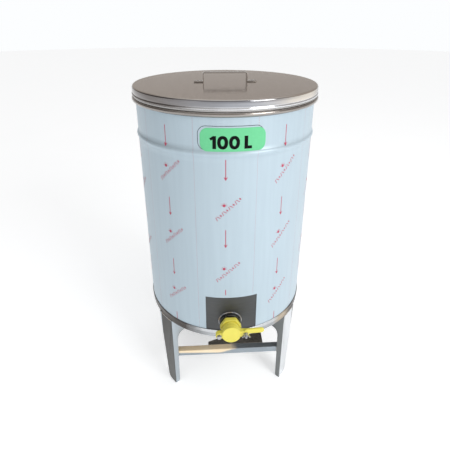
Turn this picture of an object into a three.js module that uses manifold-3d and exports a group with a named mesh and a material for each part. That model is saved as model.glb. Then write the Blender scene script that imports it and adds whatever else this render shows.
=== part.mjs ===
// A hundred litre honey tank: a stainless drum with a loose lid and a plastic
// honey gate, standing on a welded frame with four legs.
// Millimetres, +Z up, front towards -Y. The origin is on the floor, under the
// middle of the whole object, so the drum's axis stands a little behind it.
import * as THREE from 'three';
import { mergeVertices } from 'three/addons/utils/BufferGeometryUtils.js';
import Module from 'manifold-3d';

// Clearances and sheet
const GAP = 0.3;
const SHEET = 1.0;
const RING_SEGMENTS = 48;
const DISC_SEGMENTS = 32;
const SMALL_SEGMENTS = 24;
const BOLT_SEGMENTS = 16;

// How far a cutting tool runs past the face it opens
const OVERRUN = 1;
const CUT_INWARD = 30;
const CUT_OUTWARD = 10;

// Drum
const DRUM_RADIUS = 229.4;
const DRUM_INSIDE = DRUM_RADIUS - SHEET;
const SEAM_BOTTOM = 265.3;
const SEAM_TOP = 276.0;
const SEAM_RADIUS = 231.2;
const SHELL_BOTTOM = SEAM_BOTTOM + SHEET + 2 * GAP;
const DISH_CENTRE = 3.7;
const DISH_EDGE = 6.7;
const SWAGE_HEIGHT = 778;
const SWAGE_HALF = 7;
const SWAGE_PROUD = 3.5;
const SWAGE_SWELL = 0.75 * SWAGE_PROUD;
const SWAGE_BEND = 0.55 * SWAGE_HALF;
const CURL_RADIUS = 5.2;
const CURL_HEIGHT = 866;
const CURL_END = -95;
const CURL_CENTRE = DRUM_INSIDE + CURL_RADIUS;
const RIM_RADIUS = CURL_CENTRE + CURL_RADIUS;
const WIRE_RADIUS = CURL_RADIUS - SHEET - GAP;

// Peel-off film and the capacity label on it
const FILM = 0.4;
const FILM_INSIDE = DRUM_RADIUS + GAP;
const FILM_TOP = 859;
const FILM_BOTTOM = SEAM_TOP + GAP;
const BARE_PATCH_LEFT = -64.5;
const BARE_PATCH_RIGHT = 71.5;
const BARE_PATCH_TOP = 387;
const LABEL_WIDTH = 145;
const LABEL_HEIGHT = 53;
const LABEL_CORNER = 18;
const LABEL_CENTRE = 810.5;

// Lid
const LID_TOP = 897;
const LID_BEND = 6;
const LID_SKIRT = 236.6;
const LID_BOTTOM = 875;
const HEM_TOP = 881.5;
const HEM_RADIUS = 238;
const HEM_EDGE = 0.6;
const RING_SPIGOT = 226.8;
const RING_BOTTOM = 850;
const RING_LEDGE = CURL_HEIGHT + CURL_RADIUS + GAP;
const RING_WALL = 16;
const HANDLE_OPENING = 110;
const HANDLE_HEIGHT = 24;
const HANDLE_STRAP = 2;
const HANDLE_FOOT = 23;
const HANDLE_DEPTH = 26;
const HANDLE_BEND = 4;

// Outlet and honey gate; the distances run outward from the drum's axis
const OUTLET_HEIGHT = 308;
const SOCKET_RADIUS = 29;
const SOCKET_START = 221;
const SOCKET_END = 240;
const PIPE_RADIUS = 20;
const BORE_RADIUS = 18;
const PIPE_START = 224;
const GASKET_START = SOCKET_END + GAP;
const GASKET_LENGTH = 2;
const GASKET_WALL = 5;
const GASKET_END = GASKET_START + GASKET_LENGTH;
const LOCK_NUT_START = GASKET_END + GAP;
const LOCK_NUT_LENGTH = 12;
const LOCK_NUT_END = LOCK_NUT_START + LOCK_NUT_LENGTH;
const LOCK_NUT_FLATS = 50;
const LOCK_NUT_CORNER = 6;
const NECK_START = LOCK_NUT_END + GAP;
const NECK_RADIUS = 21.5;
const PLATE_START = 266;
const PLATE_END = 272;
const PLATE_RADIUS = 24.5;
const BLADE_START = PLATE_END + GAP;
const BLADE_THICKNESS = 8;
const EAR_THICKNESS = 6;
const BLADE_END = BLADE_START + BLADE_THICKNESS;
const EAR_END = BLADE_START + EAR_THICKNESS;
const EAR_RADIUS = 9;
const SLOT_EASE = 0.2;
const PIVOT = new THREE.Vector2(-31.5, -4);
const LOCK = new THREE.Vector2(37, 0);
const LEVER_START = new THREE.Vector2(40, 8);
const LEVER_END = new THREE.Vector2(77, 10);
const LEVER_RADIUS = 7;

// Six millimetre bolts, nuts and washers
const BOLT_RADIUS = 3;
const BOLT_HOLE = BOLT_RADIUS + GAP;
const BOLT_FLATS = 10;
const BOLT_CORNER = 0.5;
const BOLT_TIP = 2;
const LOCK_BOLT_PROUD = 11;
const HEAD_LENGTH = 4;
const NUT_LENGTH = 5;
const WASHER_RADIUS = 6.4;
const WASHER_LENGTH = 1.2;
const WASHER_START = EAR_END + GAP;
const HEAD_START = WASHER_START + WASHER_LENGTH + GAP;
const LOCK_BOLT_END = HEAD_START + LOCK_BOLT_PROUD;
const BACK_FACE = PLATE_START - GAP;
const WING_HUB_RADIUS = 5.5;
const WING_HUB_LENGTH = 6;
const WING_THICKNESS = 2.4;
const WING_ROOT = 4.1;
const WING_SHOULDER = 9;
const WING_REACH = 11;
const WING_TIP = 7.6;
const WING_HEIGHTS = [1, 3, 7, 10, 5];

// Stand
const HOOP_RADIUS = 230.4;
const HOOP_INSIDE = 204;
const HOOP_TOP = SEAM_BOTTOM - GAP;
const HOOP_BOTTOM = 252.5;
const HOOP_SHEET = 2.5;
const LEG_SHEET = 3;
const LEG_FACE = 229.4;
const LEG_TOP = HOOP_BOTTOM - GAP;
const LEG_FOLD = 27;
const LEG_FREE_TOP = -34;
const LEG_FREE_MIDDLE = -27;
const LEG_MIDDLE = 120;
const LEG_FREE_FOOT = -11;
const LEG_TOE = 22;
const LEG_SOLE = 7;
const FLANGE_FOOT = 15.5;
const FLANGE_WAIST = 17;
const FLANGE_HEEL = 8;
const GUSSET_DEPTH = 42;
const GUSSET_START = 4.2;
const GUSSET_TOP = HOOP_TOP - HOOP_SHEET - GAP;
const GUSSET_CORNER = 12;
const GUSSET_BOTTOM = 196;
const FLARE_BOTTOM = 165;
const LEG_ANGLES = { front_left: -51.7, front_right: 51.7, rear_right: 128.3, rear_left: 231.7 };
const LEG_HANDS = { front_left: 1, front_right: -1, rear_right: 1, rear_left: -1 };
const BAR_SIDE = 20;
const BAR_WALL = 1.5;
const BAR_TOP = 120;
const BAR_CENTRE = 140;
const BAR_LENGTH = 400;
const TIE_LEFT = -28;
const TIE_RIGHT = 110.5;
const TIE_LIP_LEFT = -60;
const TIE_LIP_DEPTH = 12;
const TIE_SHEET = 2.5;
const TIE_TOP = 119.5;

// The drum's axis lies behind the origin by half of what the gate adds in front.
const DRUM_AXIS_Y = (LOCK_BOLT_END - RIM_RADIUS) / 2;

const STEEL = { color: 0x8f9396, roughness: 0.35, metalness: 1.0 };
const DARK_STEEL = { color: 0x66676a, roughness: 0.4, metalness: 1.0 };
const LID_STEEL = { color: 0x9a9086, roughness: 0.3, metalness: 1.0 };
const FILM_PLASTIC = { color: 0xbdd2e0, roughness: 0.45, metalness: 0.0 };
const LABEL_PAPER = { color: 0x79e1a5, roughness: 0.5, metalness: 0.0 };
const YELLOW_PLASTIC = { color: 0xefe66b, roughness: 0.4, metalness: 0.0 };
const SEAL_RUBBER = { color: 0x2c2c2c, roughness: 0.8, metalness: 0.0 };

const wasm = await Module();
wasm.setup();

// A closed geometry as a solid: shared vertices merged, collapsed triangles dropped.
function toSolid(geometry) {
  const bare = geometry.clone();
  bare.deleteAttribute('normal');
  bare.deleteAttribute('uv');
  const merged = mergeVertices(bare, 1e-4);
  const corners = [];
  for (let i = 0; i < merged.index.count; i += 3) {
    const [a, b, c] = [0, 1, 2].map((k) => merged.index.getX(i + k));
    if (a !== b && b !== c && c !== a) corners.push(a, b, c);
  }
  const vertProperties = new Float32Array(merged.attributes.position.array);
  const mesh = new wasm.Mesh({ numProp: 3, vertProperties, triVerts: new Uint32Array(corners) });
  return new wasm.Manifold(mesh);
}

function toGeometry(solid) {
  const mesh = solid.getMesh();
  const geometry = new THREE.BufferGeometry();
  geometry.setAttribute('position', new THREE.BufferAttribute(mesh.vertProperties, 3));
  geometry.setIndex(new THREE.BufferAttribute(mesh.triVerts, 1));
  return geometry;
}

function join(...geometries) {
  return toGeometry(geometries.map(toSolid).reduce((whole, piece) => whole.add(piece)));
}

function cut(geometry, ...tools) {
  return toGeometry(tools.map(toSolid).reduce((rest, tool) => rest.subtract(tool), toSolid(geometry)));
}

function overlap(geometry, tool) {
  return toGeometry(toSolid(geometry).intersect(toSolid(tool)));
}

// Turns a profile of [radius, height] points about +Z. A ring's profile is
// listed counterclockwise and closes on itself; a disc's starts and ends on the axis.
function turned(profile, segments = RING_SEGMENTS) {
  const points = profile.map(([radius, height]) => new THREE.Vector2(radius, height));
  const last = profile[profile.length - 1];
  if (profile[0][0] > 0 || last[0] > 0) points.push(points[0].clone());
  return new THREE.LatheGeometry(points, segments).rotateX(Math.PI / 2);
}

// A round bar or tube about +Z between two heights.
function tube(inside, outside, low, high, segments = SMALL_SEGMENTS) {
  if (inside === 0) return turned([[0, low], [outside, low], [outside, high], [0, high]], segments);
  return turned([[inside, low], [outside, low], [outside, high], [inside, high]], segments);
}

// A flat outline in X and Y, thickened between two heights.
function plate(outline, low, high, curveSegments = 8) {
  const options = { depth: high - low, bevelEnabled: false, curveSegments };
  return new THREE.ExtrudeGeometry(outline, options).translate(0, 0, low);
}

function box(low, high) {
  const size = high.map((value, i) => value - low[i]);
  const middle = high.map((value, i) => (value + low[i]) / 2);
  return new THREE.BoxGeometry(...size).translate(...middle);
}

function polygon(points) {
  return new THREE.Shape(points.map(([x, y]) => new THREE.Vector2(x, y)));
}

// An outline through circles of one radius about the given centres, in
// counterclockwise order, with straight sides between them.
function roundedOutline(centres, radius) {
  const shape = new THREE.Shape();
  centres.forEach((centre, i) => {
    const before = centres[(i + centres.length - 1) % centres.length];
    const after = centres[(i + 1) % centres.length];
    const arrive = Math.atan2(centre.y - before.y, centre.x - before.x) - Math.PI / 2;
    const leave = Math.atan2(after.y - centre.y, after.x - centre.x) - Math.PI / 2;
    const turn = (leave - arrive + 4 * Math.PI) % (2 * Math.PI);
    shape.absarc(centre.x, centre.y, radius, arrive, arrive + turn, false);
  });
  shape.closePath();
  return shape;
}

// A hexagon with two corners on the X axis, each rounded.
function hexagon(flats, cornerRadius) {
  const reach = (flats / 2 - cornerRadius) / Math.cos(Math.PI / 6);
  const centres = [0, 1, 2, 3, 4, 5].map((k) => {
    const angle = (k * Math.PI) / 3;
    return new THREE.Vector2(reach * Math.cos(angle), reach * Math.sin(angle));
  });
  return roundedOutline(centres, cornerRadius);
}

function hexNut(flats, cornerRadius, hole, low, high) {
  const blank = plate(hexagon(flats, cornerRadius), low, high, 2);
  return cut(blank, tube(0, hole, low - OVERRUN, high + OVERRUN));
}

// Points on an arc in the radius and height plane, from one angle to another.
function arc(radius, height, reach, fromDegrees, toDegrees, steps) {
  return Array.from({ length: steps + 1 }, (_, i) => {
    const angle = THREE.MathUtils.degToRad(fromDegrees + ((toDegrees - fromDegrees) * i) / steps);
    return [radius + reach * Math.cos(angle), height + reach * Math.sin(angle)];
  });
}

// The drum wall's line with its outward swage, between two heights.
function wallLine(radius, bottom, top) {
  return [
    [radius, bottom],
    [radius, SWAGE_HEIGHT - SWAGE_HALF],
    [radius + SWAGE_SWELL, SWAGE_HEIGHT - SWAGE_BEND],
    [radius + SWAGE_PROUD, SWAGE_HEIGHT],
    [radius + SWAGE_SWELL, SWAGE_HEIGHT + SWAGE_BEND],
    [radius, SWAGE_HEIGHT + SWAGE_HALF],
    [radius, top],
  ];
}

function drumShell() {
  const curlInside = arc(CURL_CENTRE, CURL_HEIGHT, CURL_RADIUS - SHEET, 180, CURL_END, 6);
  const curlOutside = arc(CURL_CENTRE, CURL_HEIGHT, CURL_RADIUS, CURL_END, 180, 6);
  const inner = wallLine(DRUM_INSIDE, SHELL_BOTTOM, CURL_HEIGHT).reverse().slice(1);
  const outer = wallLine(DRUM_RADIUS, SHELL_BOTTOM, CURL_HEIGHT).slice(0, -1);
  const profile = [...inner, ...outer, ...curlInside, ...curlOutside];
  const outletHole = tube(0, SOCKET_RADIUS + GAP, DRUM_RADIUS - CUT_INWARD, DRUM_RADIUS + CUT_OUTWARD);
  outletHole.rotateX(Math.PI / 2).translate(0, 0, OUTLET_HEIGHT);
  return cut(turned(profile), outletHole);
}

// The curl hides a wire that stiffens the rim.
function rimWire() {
  return turned(arc(CURL_CENTRE, CURL_HEIGHT, WIRE_RADIUS, 0, 315, 7));
}

// A dished floor whose edge folds around the shell's lower edge in a seam.
function drumBottom() {
  const foldInside = DRUM_INSIDE - GAP;
  return turned([
    [0, SEAM_BOTTOM + DISH_CENTRE],
    [foldInside - SHEET, SEAM_BOTTOM + DISH_EDGE],
    [foldInside - SHEET, SEAM_BOTTOM],
    [SEAM_RADIUS, SEAM_BOTTOM],
    [SEAM_RADIUS, SEAM_TOP],
    [DRUM_RADIUS + GAP, SEAM_TOP],
    [DRUM_RADIUS + GAP, SEAM_BOTTOM + SHEET],
    [foldInside, SEAM_BOTTOM + SHEET],
    [foldInside, SEAM_BOTTOM + DISH_EDGE + SHEET],
    [0, SEAM_BOTTOM + DISH_CENTRE + SHEET],
  ]);
}

function protectiveFilm() {
  const outer = wallLine(FILM_INSIDE + FILM, FILM_BOTTOM, FILM_TOP);
  const inner = wallLine(FILM_INSIDE, FILM_BOTTOM, FILM_TOP).reverse();
  const patch = box(
    [BARE_PATCH_LEFT, -RIM_RADIUS, FILM_BOTTOM - OVERRUN],
    [BARE_PATCH_RIGHT, -DRUM_RADIUS / 2, BARE_PATCH_TOP],
  );
  return cut(turned([...inner, ...outer]), patch);
}

function capacityLabel() {
  const inside = FILM_INSIDE + FILM + GAP;
  const x = LABEL_WIDTH / 2 - LABEL_CORNER;
  const y = LABEL_HEIGHT / 2 - LABEL_CORNER;
  const centres = [[x, -y], [x, y], [-x, y], [-x, -y]].map(([a, b]) => new THREE.Vector2(a, b));
  const shape = roundedOutline(centres, LABEL_CORNER);
  const outline = plate(shape, DRUM_RADIUS - CUT_INWARD, DRUM_RADIUS + CUT_OUTWARD, 4);
  outline.rotateX(Math.PI / 2).translate(0, 0, LABEL_CENTRE);
  const bandBottom = SWAGE_HEIGHT + SWAGE_HALF;
  const bandTop = LABEL_CENTRE + LABEL_HEIGHT;
  return overlap(tube(inside, inside + FILM, bandBottom, bandTop, RING_SEGMENTS), outline);
}

function lidPanel() {
  const inside = LID_SKIRT - SHEET;
  const bendCentre = LID_SKIRT - LID_BEND;
  return turned([
    [0, LID_TOP - SHEET],
    ...arc(bendCentre, LID_TOP - LID_BEND, LID_BEND - SHEET, 90, 0, 2),
    [inside, LID_BOTTOM],
    [HEM_RADIUS - HEM_EDGE, LID_BOTTOM],
    [HEM_RADIUS, (LID_BOTTOM + HEM_TOP) / 2],
    [LID_SKIRT, HEM_TOP],
    ...arc(bendCentre, LID_TOP - LID_BEND, LID_BEND, 0, 90, 3),
    [0, LID_TOP],
  ]);
}

// A stepped ring inside the lid: its spigot drops into the drum and its ledge
// rests on the rim.
function lidLocatingRing() {
  const wall = LID_SKIRT - SHEET - GAP;
  return turned([
    [RING_SPIGOT - SHEET, RING_BOTTOM],
    [RING_SPIGOT, RING_BOTTOM],
    [RING_SPIGOT, RING_LEDGE],
    [wall, RING_LEDGE],
    [wall, RING_LEDGE + RING_WALL],
    [wall - SHEET, RING_LEDGE + RING_WALL],
    [wall - SHEET, RING_LEDGE + SHEET],
    [RING_SPIGOT - SHEET, RING_LEDGE + SHEET],
  ]);
}

// A strap bent into a low bridge with a foot at each end.
function lidHandle() {
  const inner = HANDLE_OPENING / 2;
  const outer = inner + HANDLE_STRAP;
  const end = inner + HANDLE_FOOT + HANDLE_STRAP;
  const bendHeight = HANDLE_HEIGHT - HANDLE_BEND;
  const innerBend = HANDLE_BEND - HANDLE_STRAP;
  const outline = new THREE.Shape();
  outline.moveTo(inner, 0);
  outline.lineTo(end, 0);
  outline.lineTo(end, HANDLE_STRAP);
  outline.lineTo(outer, HANDLE_STRAP);
  outline.absarc(outer - HANDLE_BEND, bendHeight, HANDLE_BEND, 0, Math.PI / 2, false);
  outline.absarc(HANDLE_BEND - outer, bendHeight, HANDLE_BEND, Math.PI / 2, Math.PI, false);
  outline.lineTo(-outer, HANDLE_STRAP);
  outline.lineTo(-end, HANDLE_STRAP);
  outline.lineTo(-end, 0);
  outline.lineTo(-inner, 0);
  outline.absarc(innerBend - inner, bendHeight, innerBend, Math.PI, Math.PI / 2, true);
  outline.absarc(inner - innerBend, bendHeight, innerBend, Math.PI / 2, 0, true);
  outline.closePath();
  const strap = plate(outline, -HANDLE_DEPTH / 2, HANDLE_DEPTH / 2, 3);
  return strap.rotateX(Math.PI / 2).translate(0, 0, LID_TOP + GAP);
}

function gateBody() {
  const pipe = tube(BORE_RADIUS, PIPE_RADIUS, PIPE_START, NECK_START + OVERRUN);
  const neck = tube(BORE_RADIUS, NECK_RADIUS, NECK_START, PLATE_START + OVERRUN);
  const face = tube(0, PLATE_RADIUS, PLATE_START, PLATE_END, DISC_SEGMENTS);
  const ears = [PIVOT, LOCK].map((bolt) => plate(
    roundedOutline([new THREE.Vector2(0, bolt.y / 2), bolt], EAR_RADIUS), PLATE_START, PLATE_END,
  ));
  const blank = join(face, ...ears);
  const bore = tube(0, BORE_RADIUS, PLATE_START - OVERRUN, PLATE_END + OVERRUN);
  const hole = tube(0, BOLT_HOLE, PLATE_START - OVERRUN, PLATE_END + OVERRUN, BOLT_SEGMENTS);
  const holes = [PIVOT, LOCK].map((bolt) => hole.clone().translate(bolt.x, bolt.y, 0));
  return join(pipe, neck, cut(blank, bore, ...holes));
}

// A disc that covers the bore, with an ear on the pivot, a slotted ear that
// drops over the lock bolt and a lever to lift it by.
function gateBlade() {
  const disc = tube(0, PLATE_RADIUS, BLADE_START, BLADE_END, DISC_SEGMENTS);
  const middle = new THREE.Vector2(0, 0);
  const bars = [
    roundedOutline([middle, PIVOT], EAR_RADIUS),
    roundedOutline([middle, LOCK], EAR_RADIUS),
    roundedOutline([LEVER_START, LEVER_END], LEVER_RADIUS),
  ].map((outline) => plate(outline, BLADE_START, EAR_END));
  const low = BLADE_START - OVERRUN;
  const high = BLADE_END + OVERRUN;
  const pivotHole = tube(0, BOLT_HOLE, low, high, BOLT_SEGMENTS).translate(PIVOT.x, PIVOT.y, 0);
  const slotEnd = new THREE.Vector2(LOCK.x, LOCK.y - 2 * EAR_RADIUS);
  const slot = plate(roundedOutline([slotEnd, LOCK], BOLT_HOLE + SLOT_EASE), low, high, 8);
  return cut(join(disc, ...bars), pivotHole, slot);
}

function hexBolt(headLow, headHigh, shankLow, shankHigh) {
  const head = plate(hexagon(BOLT_FLATS, BOLT_CORNER), headLow, headHigh, 1);
  return join(head, tube(0, BOLT_RADIUS, shankLow, shankHigh, BOLT_SEGMENTS));
}

function wingNut() {
  const top = HEAD_START + WING_HUB_LENGTH;
  const hub = tube(BOLT_HOLE, WING_HUB_RADIUS, HEAD_START, top);
  const [foot, shoulder, elbow, tip, neck] = WING_HEIGHTS;
  const wing = polygon([
    [WING_ROOT, foot],
    [WING_SHOULDER, shoulder],
    [WING_REACH, elbow],
    [(WING_REACH + WING_SHOULDER) / 2, tip],
    [WING_TIP, tip],
    [WING_ROOT, neck],
  ]);
  const wings = [0, Math.PI].map((turn) => (
    plate(wing, -WING_THICKNESS / 2, WING_THICKNESS / 2)
      .rotateX(Math.PI / 2)
      .rotateZ(turn)
      .translate(0, 0, HEAD_START)
  ));
  return join(hub, ...wings);
}

function standHoop() {
  return turned([
    [HOOP_RADIUS - HOOP_SHEET, HOOP_BOTTOM],
    [HOOP_RADIUS, HOOP_BOTTOM],
    [HOOP_RADIUS, HOOP_TOP],
    [HOOP_INSIDE, HOOP_TOP],
    [HOOP_INSIDE, HOOP_TOP - HOOP_SHEET],
    [HOOP_RADIUS - HOOP_SHEET, HOOP_TOP - HOOP_SHEET],
  ]);
}

// A leg, with its web facing outward under the hoop. One edge is folded inward
// into a flange that widens into a gusset; the other tapers to a rounded toe.
// The hand mirrors it left to right.
function leg(hand) {
  const web = new THREE.Shape();
  web.moveTo(hand * LEG_FOLD, 0);
  web.lineTo(hand * LEG_FOLD, LEG_TOP);
  web.lineTo(hand * LEG_FREE_TOP, LEG_TOP);
  web.quadraticCurveTo(hand * LEG_FREE_MIDDLE, LEG_MIDDLE, hand * LEG_FREE_FOOT, LEG_TOE);
  web.quadraticCurveTo(hand * LEG_FREE_FOOT, 0, hand * LEG_SOLE, 0);
  web.closePath();
  const webPlate = plate(web, LEG_FACE - LEG_SHEET, LEG_FACE, 6).rotateX(Math.PI / 2);

  const flange = new THREE.Shape();
  flange.moveTo(0, 0);
  flange.lineTo(0, LEG_TOP);
  flange.lineTo(GUSSET_START, LEG_TOP);
  flange.lineTo(GUSSET_START, GUSSET_TOP);
  flange.lineTo(GUSSET_DEPTH - GUSSET_CORNER, GUSSET_TOP);
  flange.lineTo(GUSSET_DEPTH, GUSSET_TOP - GUSSET_CORNER);
  flange.lineTo(GUSSET_DEPTH, GUSSET_BOTTOM);
  flange.quadraticCurveTo(FLANGE_WAIST, GUSSET_BOTTOM, FLANGE_WAIST, FLARE_BOTTOM);
  flange.lineTo(FLANGE_FOOT, FLANGE_HEEL);
  flange.quadraticCurveTo(FLANGE_FOOT, 0, FLANGE_FOOT - FLANGE_HEEL, 0);
  flange.closePath();
  const upright = new THREE.Matrix4().makeBasis(
    new THREE.Vector3(0, 1, 0), new THREE.Vector3(0, 0, 1), new THREE.Vector3(1, 0, 0),
  );
  const outside = Math.min(hand * LEG_FOLD, hand * (LEG_FOLD - LEG_SHEET));
  const flangePlate = plate(flange, outside, outside + LEG_SHEET, 6).applyMatrix4(upright);
  return join(webPlate, flangePlate.translate(0, -LEG_FACE, 0));
}

// A square tube between two neighbouring legs. It passes just inside their
// flanges and its ends are mitred to the inner faces of their webs.
function crossbar() {
  const half = BAR_SIDE / 2;
  const hollow = half - BAR_WALL;
  const middle = BAR_TOP - half;
  const blank = box(
    [-BAR_LENGTH / 2, -BAR_CENTRE - half, middle - half],
    [BAR_LENGTH / 2, half - BAR_CENTRE, middle + half],
  );
  const inside = box(
    [-BAR_LENGTH, -BAR_CENTRE - hollow, middle - hollow],
    [BAR_LENGTH, hollow - BAR_CENTRE, middle + hollow],
  );
  const webInside = LEG_FACE - LEG_SHEET - GAP;
  const ends = [LEG_ANGLES.front_left, LEG_ANGLES.front_right].map((degrees) => (
    box([-BAR_LENGTH, -BAR_LENGTH, 0], [BAR_LENGTH, -webInside, BAR_LENGTH])
      .rotateZ(THREE.MathUtils.degToRad(degrees))
  ));
  return cut(blank, inside, ...ends);
}

// A flat strip under the drum that ties the two crossbars together.
function tiePlate() {
  const end = BAR_CENTRE - BAR_SIDE / 2 - GAP;
  const shoulder = end - TIE_LIP_DEPTH;
  const outline = polygon([
    [TIE_LIP_LEFT, -end], [TIE_RIGHT, -end], [TIE_RIGHT, end], [TIE_LIP_LEFT, end],
    [TIE_LIP_LEFT, shoulder], [TIE_LEFT, shoulder - TIE_LIP_DEPTH],
    [TIE_LEFT, TIE_LIP_DEPTH - shoulder], [TIE_LIP_LEFT, -shoulder],
  ]);
  return plate(outline, TIE_TOP - TIE_SHEET, TIE_TOP);
}

function named(name, geometry, look) {
  const mesh = new THREE.Mesh(geometry, new THREE.MeshStandardMaterial(look));
  mesh.name = name;
  return mesh;
}

function placed(mesh, x, y) {
  mesh.position.set(x, y, 0);
  return mesh;
}

const group = new THREE.Group();
const axis = new THREE.Group();
axis.position.y = DRUM_AXIS_Y;
group.add(axis);

axis.add(
  named('drum_shell', drumShell(), STEEL),
  named('rim_wire', rimWire(), STEEL),
  named('drum_bottom', drumBottom(), STEEL),
  named('protective_film', protectiveFilm(), FILM_PLASTIC),
  named('capacity_label', capacityLabel(), LABEL_PAPER),
  named('lid_panel', lidPanel(), LID_STEEL),
  named('lid_locating_ring', lidLocatingRing(), STEEL),
  named('lid_handle', lidHandle(), LID_STEEL),
  named('stand_hoop', standHoop(), STEEL),
  named('tie_plate', tiePlate(), DARK_STEEL),
);

for (const [place, degrees] of Object.entries(LEG_ANGLES)) {
  const mesh = named(`leg_${place}`, leg(LEG_HANDS[place]), DARK_STEEL);
  mesh.rotation.z = THREE.MathUtils.degToRad(degrees);
  axis.add(mesh);
}

for (const [place, turn] of [['front', 0], ['rear', Math.PI]]) {
  const mesh = named(`crossbar_${place}`, crossbar(), STEEL);
  mesh.rotation.z = turn;
  axis.add(mesh);
}

// The gate's own frame: X to the right, Y up, Z outward from the drum's axis.
const gate = new THREE.Group();
gate.rotation.x = Math.PI / 2;
gate.position.z = OUTLET_HEIGHT;
axis.add(gate);

const nutStart = BACK_FACE - NUT_LENGTH;
const washer = tube(BOLT_HOLE, WASHER_RADIUS, WASHER_START, WASHER_START + WASHER_LENGTH);
const gasket = tube(PIPE_RADIUS + GAP, PIPE_RADIUS + GASKET_WALL, GASKET_START, GASKET_END);
const headEnd = HEAD_START + HEAD_LENGTH;
const pivotBolt = hexBolt(HEAD_START, headEnd, nutStart - BOLT_TIP, HEAD_START + OVERRUN);
const lockBolt = hexBolt(BACK_FACE - HEAD_LENGTH, BACK_FACE, BACK_FACE - OVERRUN, LOCK_BOLT_END);
gate.add(
  named('outlet_socket', tube(PIPE_RADIUS + GAP, SOCKET_RADIUS, SOCKET_START, SOCKET_END), STEEL),
  named('gate_gasket', gasket, SEAL_RUBBER),
  named(
    'gate_lock_nut',
    hexNut(LOCK_NUT_FLATS, LOCK_NUT_CORNER, PIPE_RADIUS + GAP, LOCK_NUT_START, LOCK_NUT_END),
    YELLOW_PLASTIC,
  ),
  named('gate_body', gateBody(), YELLOW_PLASTIC),
  named('gate_blade', gateBlade(), YELLOW_PLASTIC),
  placed(named('pivot_washer', washer, STEEL), PIVOT.x, PIVOT.y),
  placed(named('lock_washer', washer, STEEL), LOCK.x, LOCK.y),
  placed(
    named('pivot_bolt', pivotBolt, STEEL),
    PIVOT.x, PIVOT.y,
  ),
  placed(
    named('pivot_nut', hexNut(BOLT_FLATS, BOLT_CORNER, BOLT_HOLE, nutStart, BACK_FACE), STEEL),
    PIVOT.x, PIVOT.y,
  ),
  placed(
    named('lock_bolt', lockBolt, STEEL),
    LOCK.x, LOCK.y,
  ),
  placed(named('wing_nut', wingNut(), STEEL), LOCK.x, LOCK.y),
);

export default group;
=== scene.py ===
"""A hundred litre honey tank on its stand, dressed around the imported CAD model.

Everything is in metres in the CAD frame: +Z up, the gate towards -Y. The drum's own
pieces are built about its axis and stand behind the origin with it.
"""
import math
import random

import bmesh
import bpy
from mathutils import Matrix, Vector


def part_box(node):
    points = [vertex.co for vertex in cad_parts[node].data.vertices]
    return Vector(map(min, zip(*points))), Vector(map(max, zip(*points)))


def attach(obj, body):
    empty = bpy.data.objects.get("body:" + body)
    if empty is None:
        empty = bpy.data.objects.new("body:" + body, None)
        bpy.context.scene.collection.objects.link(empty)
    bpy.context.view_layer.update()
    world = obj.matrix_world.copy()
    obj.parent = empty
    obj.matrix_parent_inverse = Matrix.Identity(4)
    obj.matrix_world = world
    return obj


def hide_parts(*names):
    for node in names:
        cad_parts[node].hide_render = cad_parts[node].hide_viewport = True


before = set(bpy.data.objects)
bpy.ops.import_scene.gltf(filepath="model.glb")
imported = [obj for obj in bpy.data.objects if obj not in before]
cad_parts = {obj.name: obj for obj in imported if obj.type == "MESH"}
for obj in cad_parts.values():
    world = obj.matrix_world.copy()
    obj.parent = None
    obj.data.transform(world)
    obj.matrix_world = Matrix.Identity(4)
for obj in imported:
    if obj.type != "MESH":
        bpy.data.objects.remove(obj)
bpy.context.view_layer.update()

MM = 0.001
GAP = 0.3 * MM
RING_STEPS = 288

# The drum's axis and the heights that the frame gives.
hoop_low, hoop_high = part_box("stand_hoop")
AXIS = Vector(((hoop_low.x + hoop_high.x) / 2, (hoop_low.y + hoop_high.y) / 2, 0))
HOOP_RADIUS = (hoop_high.x - hoop_low.x) / 2
HOOP_TOP = hoop_high.z
HOOP_BOTTOM = hoop_low.z
RIM_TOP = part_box("drum_shell")[1].z
RIM_RADIUS = (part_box("drum_shell")[1].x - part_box("drum_shell")[0].x) / 2
SHELL_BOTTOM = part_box("drum_shell")[0].z
SEAM_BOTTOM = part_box("drum_bottom")[0].z
SEAM_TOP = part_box("drum_bottom")[1].z
SEAM_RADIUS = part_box("drum_bottom")[1].x
FILM_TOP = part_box("protective_film")[1].z
FILM_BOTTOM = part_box("protective_film")[0].z
LID_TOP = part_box("lid_panel")[1].z
LID_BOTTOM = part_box("lid_panel")[0].z
LID_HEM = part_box("lid_panel")[1].x

# Sheet sizes, as in the CAD model.
SHEET = 1.0 * MM
DRUM_RADIUS = 229.4 * MM
DRUM_INSIDE = DRUM_RADIUS - SHEET
SWAGE_HEIGHT = 778 * MM
SWAGE_HALF = 7 * MM
SWAGE_PROUD = 3.5 * MM
CURL_RADIUS = 5.2 * MM
CURL_HEIGHT = RIM_TOP - CURL_RADIUS
CURL_CENTRE = RIM_RADIUS - CURL_RADIUS
LID_SKIRT = 236.6 * MM
OUTLET = Vector((0, 0, (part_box("outlet_socket")[0].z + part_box("outlet_socket")[1].z) / 2))
PATCH_LEFT = -64.5 * MM
PATCH_RIGHT = 71.5 * MM
PATCH_TOP = 387 * MM

LEG_ANGLES = {"front_left": -51.7, "front_right": 51.7, "rear_right": 128.3, "rear_left": 231.7}
LEG_HANDS = {"front_left": 1, "front_right": -1, "rear_right": 1, "rear_left": -1}
LEG_FACE = 229.4 * MM
LEG_SHEET = 3 * MM
LEG_FOLD = 27 * MM
LEG_TOP = HOOP_BOTTOM - GAP
BAR_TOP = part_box("crossbar_front")[1].z
BAR_SIDE = 20 * MM
BAR_CENTRE = -140 * MM

BODY = "stand_and_drum"
ON_END = Matrix.Rotation(math.pi / 2, 4, "X")


# ---------------------------------------------------------------- mesh helpers

def link(obj):
    bpy.context.scene.collection.objects.link(obj)
    return obj


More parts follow.
